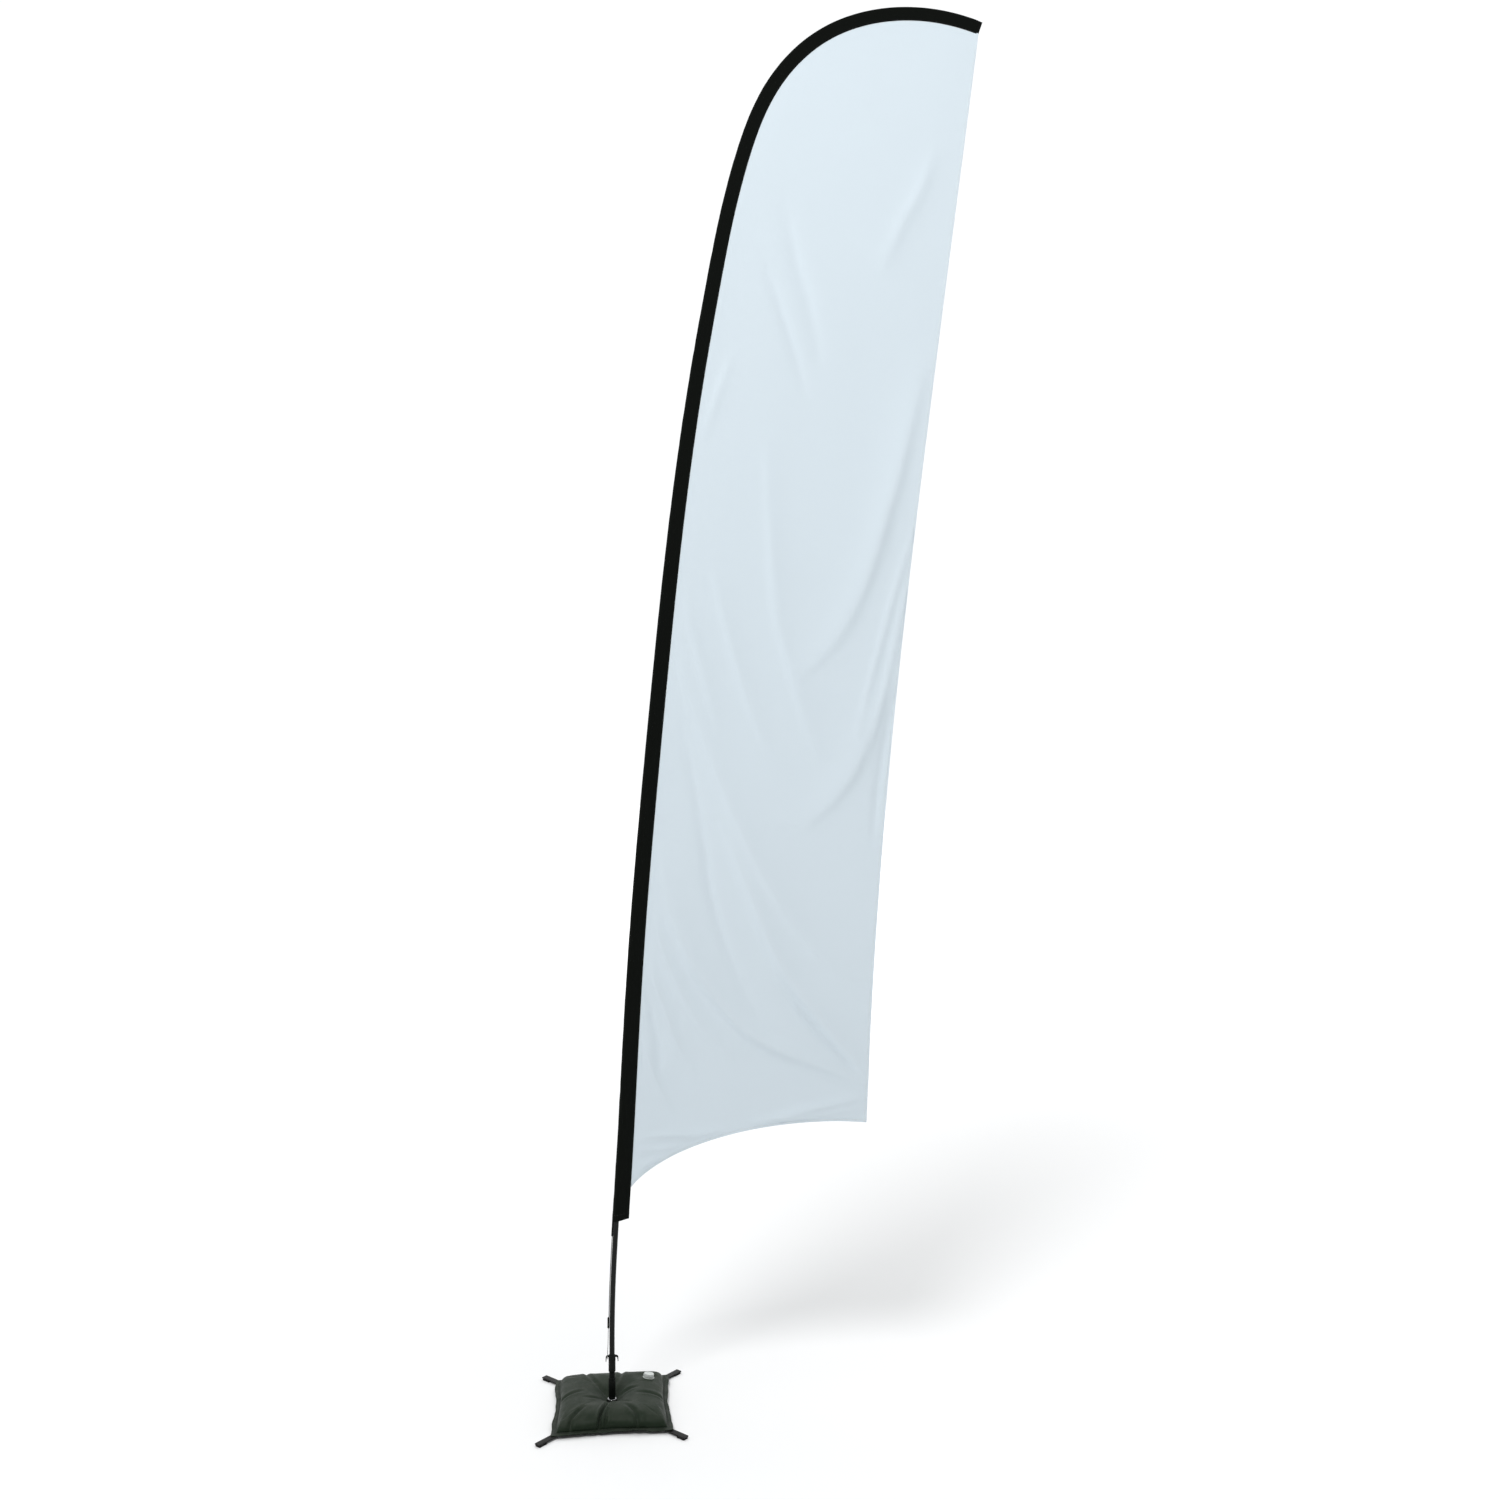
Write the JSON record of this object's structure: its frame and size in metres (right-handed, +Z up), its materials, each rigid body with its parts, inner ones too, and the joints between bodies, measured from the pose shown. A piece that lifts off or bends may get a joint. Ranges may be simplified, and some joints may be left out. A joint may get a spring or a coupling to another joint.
{
  "type": "feather flag",
  "caption": "Free-standing feather flag: curved sectional mast in a black sleeve with a plain white panel, on a turning spindle, folding cross base and square water bag.",
  "frame": {"origin": "on the ground under the spindle axis, at the middle of the rubber pad under the hub", "axes": "+Z up along the spindle; +X towards the flag's free edge; the flag hangs in the X-Z plane and the bag's sides lie along X and Y"},
  "size_m": [1.8126, 0.5834, 5.6909],
  "materials": {
    "black_steel": "satin black powder coat",
    "chrome": "polished",
    "bearing_steel": "ground",
    "zinc_steel": "zinc plated",
    "black_aluminium": "black anodised, satin",
    "black_fibreglass": "satin",
    "black_plastic": "moulded, satin",
    "black_rubber": "matt",
    "black_fabric": "woven polyester",
    "white_fabric": "knitted flag polyester",
    "black_webbing": "woven webbing",
    "black_cord": "braided",
    "grey_elastic": "covered elastic",
    "coated_fabric": "coated fabric, semi-matt",
    "white_plastic": "moulded, slightly translucent",
    "clear_plastic": "moulded, milky",
    "grey_rubber": "matt"
  },
  "bodies": {
    "base": {"hub_foot": "black_rubber", "hub_plate_lower": "black_steel", "hub_plate_upper": "black_steel", "hub_spacer": "zinc_steel", "base_bolt": "zinc_steel", "rivet_front_left": "zinc_steel", "rivet_front_right": "zinc_steel", "rivet_rear_right": "zinc_steel", "rivet_rear_left": "zinc_steel", "spindle": "black_steel", "thrust_washer": "chrome", "lower_bearing_inner_race": "bearing_steel", "upper_bearing_inner_race": "bearing_steel", "bearing_spacer": "zinc_steel", "spindle_nut": "zinc_steel"},
    "leg_front_left": {"arm_front_left": "black_steel", "arm_foot_front_left": "black_rubber"},
    "leg_front_right": {"arm_front_right": "black_steel", "arm_foot_front_right": "black_rubber"},
    "leg_rear_right": {"arm_rear_right": "black_steel", "arm_foot_rear_right": "black_rubber"},
    "leg_rear_left": {"arm_rear_left": "black_steel", "arm_foot_rear_left": "black_rubber"},
    "ballast": {"water_bag": "coated_fabric", "filler_neck": "clear_plastic", "cap_tether": "clear_plastic"},
    "cap": {"filler_cap": "white_plastic", "cap_seal": "grey_rubber"},
    "rotor": {"bearing_housing": "black_plastic", "mast_socket": "black_plastic", "bearing_retaining_ring": "zinc_steel", "lower_bearing_outer_race": "bearing_steel", "lower_bearing_ball_cage": "zinc_steel", "upper_bearing_outer_race": "bearing_steel", "upper_bearing_ball_cage": "zinc_steel"},
    "mast": {"mast_spigot": "black_plastic", "mast_section_1": "black_aluminium", "mast_section_2": "black_aluminium", "mast_section_3": "black_fibreglass", "mast_section_4": "black_fibreglass", "mast_section_5": "black_fibreglass", "mast_tip_cap": "black_rubber", "hook_collar": "black_plastic", "flag_sleeve": "black_fabric", "flag_panel": "white_fabric", "sleeve_tab": "black_webbing", "tension_cord": "black_cord", "cord_lock": "black_plastic", "elastic_loop": "grey_elastic"}
  },
  "joints": [
    {"name": "fold_front_left", "type": "hinge", "parent": "base", "child": "leg_front_left", "pos_m": [-0.02121, -0.02121, 0.0093], "axis": [0, 0, -1], "range_deg": [0, 45]},
    {"name": "fold_front_right", "type": "hinge", "parent": "base", "child": "leg_front_right", "pos_m": [0.02121, -0.02121, 0.0093], "axis": [0, 0, 1], "range_deg": [0, 45]},
    {"name": "fold_rear_right", "type": "hinge", "parent": "base", "child": "leg_rear_right", "pos_m": [0.02121, 0.02121, 0.0093], "axis": [0, 0, -1], "range_deg": [0, 45]},
    {"name": "fold_rear_left", "type": "hinge", "parent": "base", "child": "leg_rear_left", "pos_m": [-0.02121, 0.02121, 0.0093], "axis": [0, 0, 1], "range_deg": [0, 45]},
    {"name": "ballast_lift", "type": "slide", "parent": "base", "child": "ballast", "axis": [0, 0, 1], "range_m": [0, 0.1]},
    {"name": "cap_unscrew", "type": "hinge", "parent": "ballast", "child": "cap", "pos_m": [0.15, 0.118, 0.06641], "axis": [0.1365, 0.1074, 0.9848], "range_deg": [0, 540]},
    {"name": "rotor_spin", "type": "hinge", "parent": "base", "child": "rotor", "pos_m": [0, 0, 0.065], "axis": [0, 0, 1], "continuous": true},
    {"name": "mast_lift", "type": "slide", "parent": "rotor", "child": "mast", "axis": [0, 0, 1], "range_m": [0, 0.1]}
  ]
}
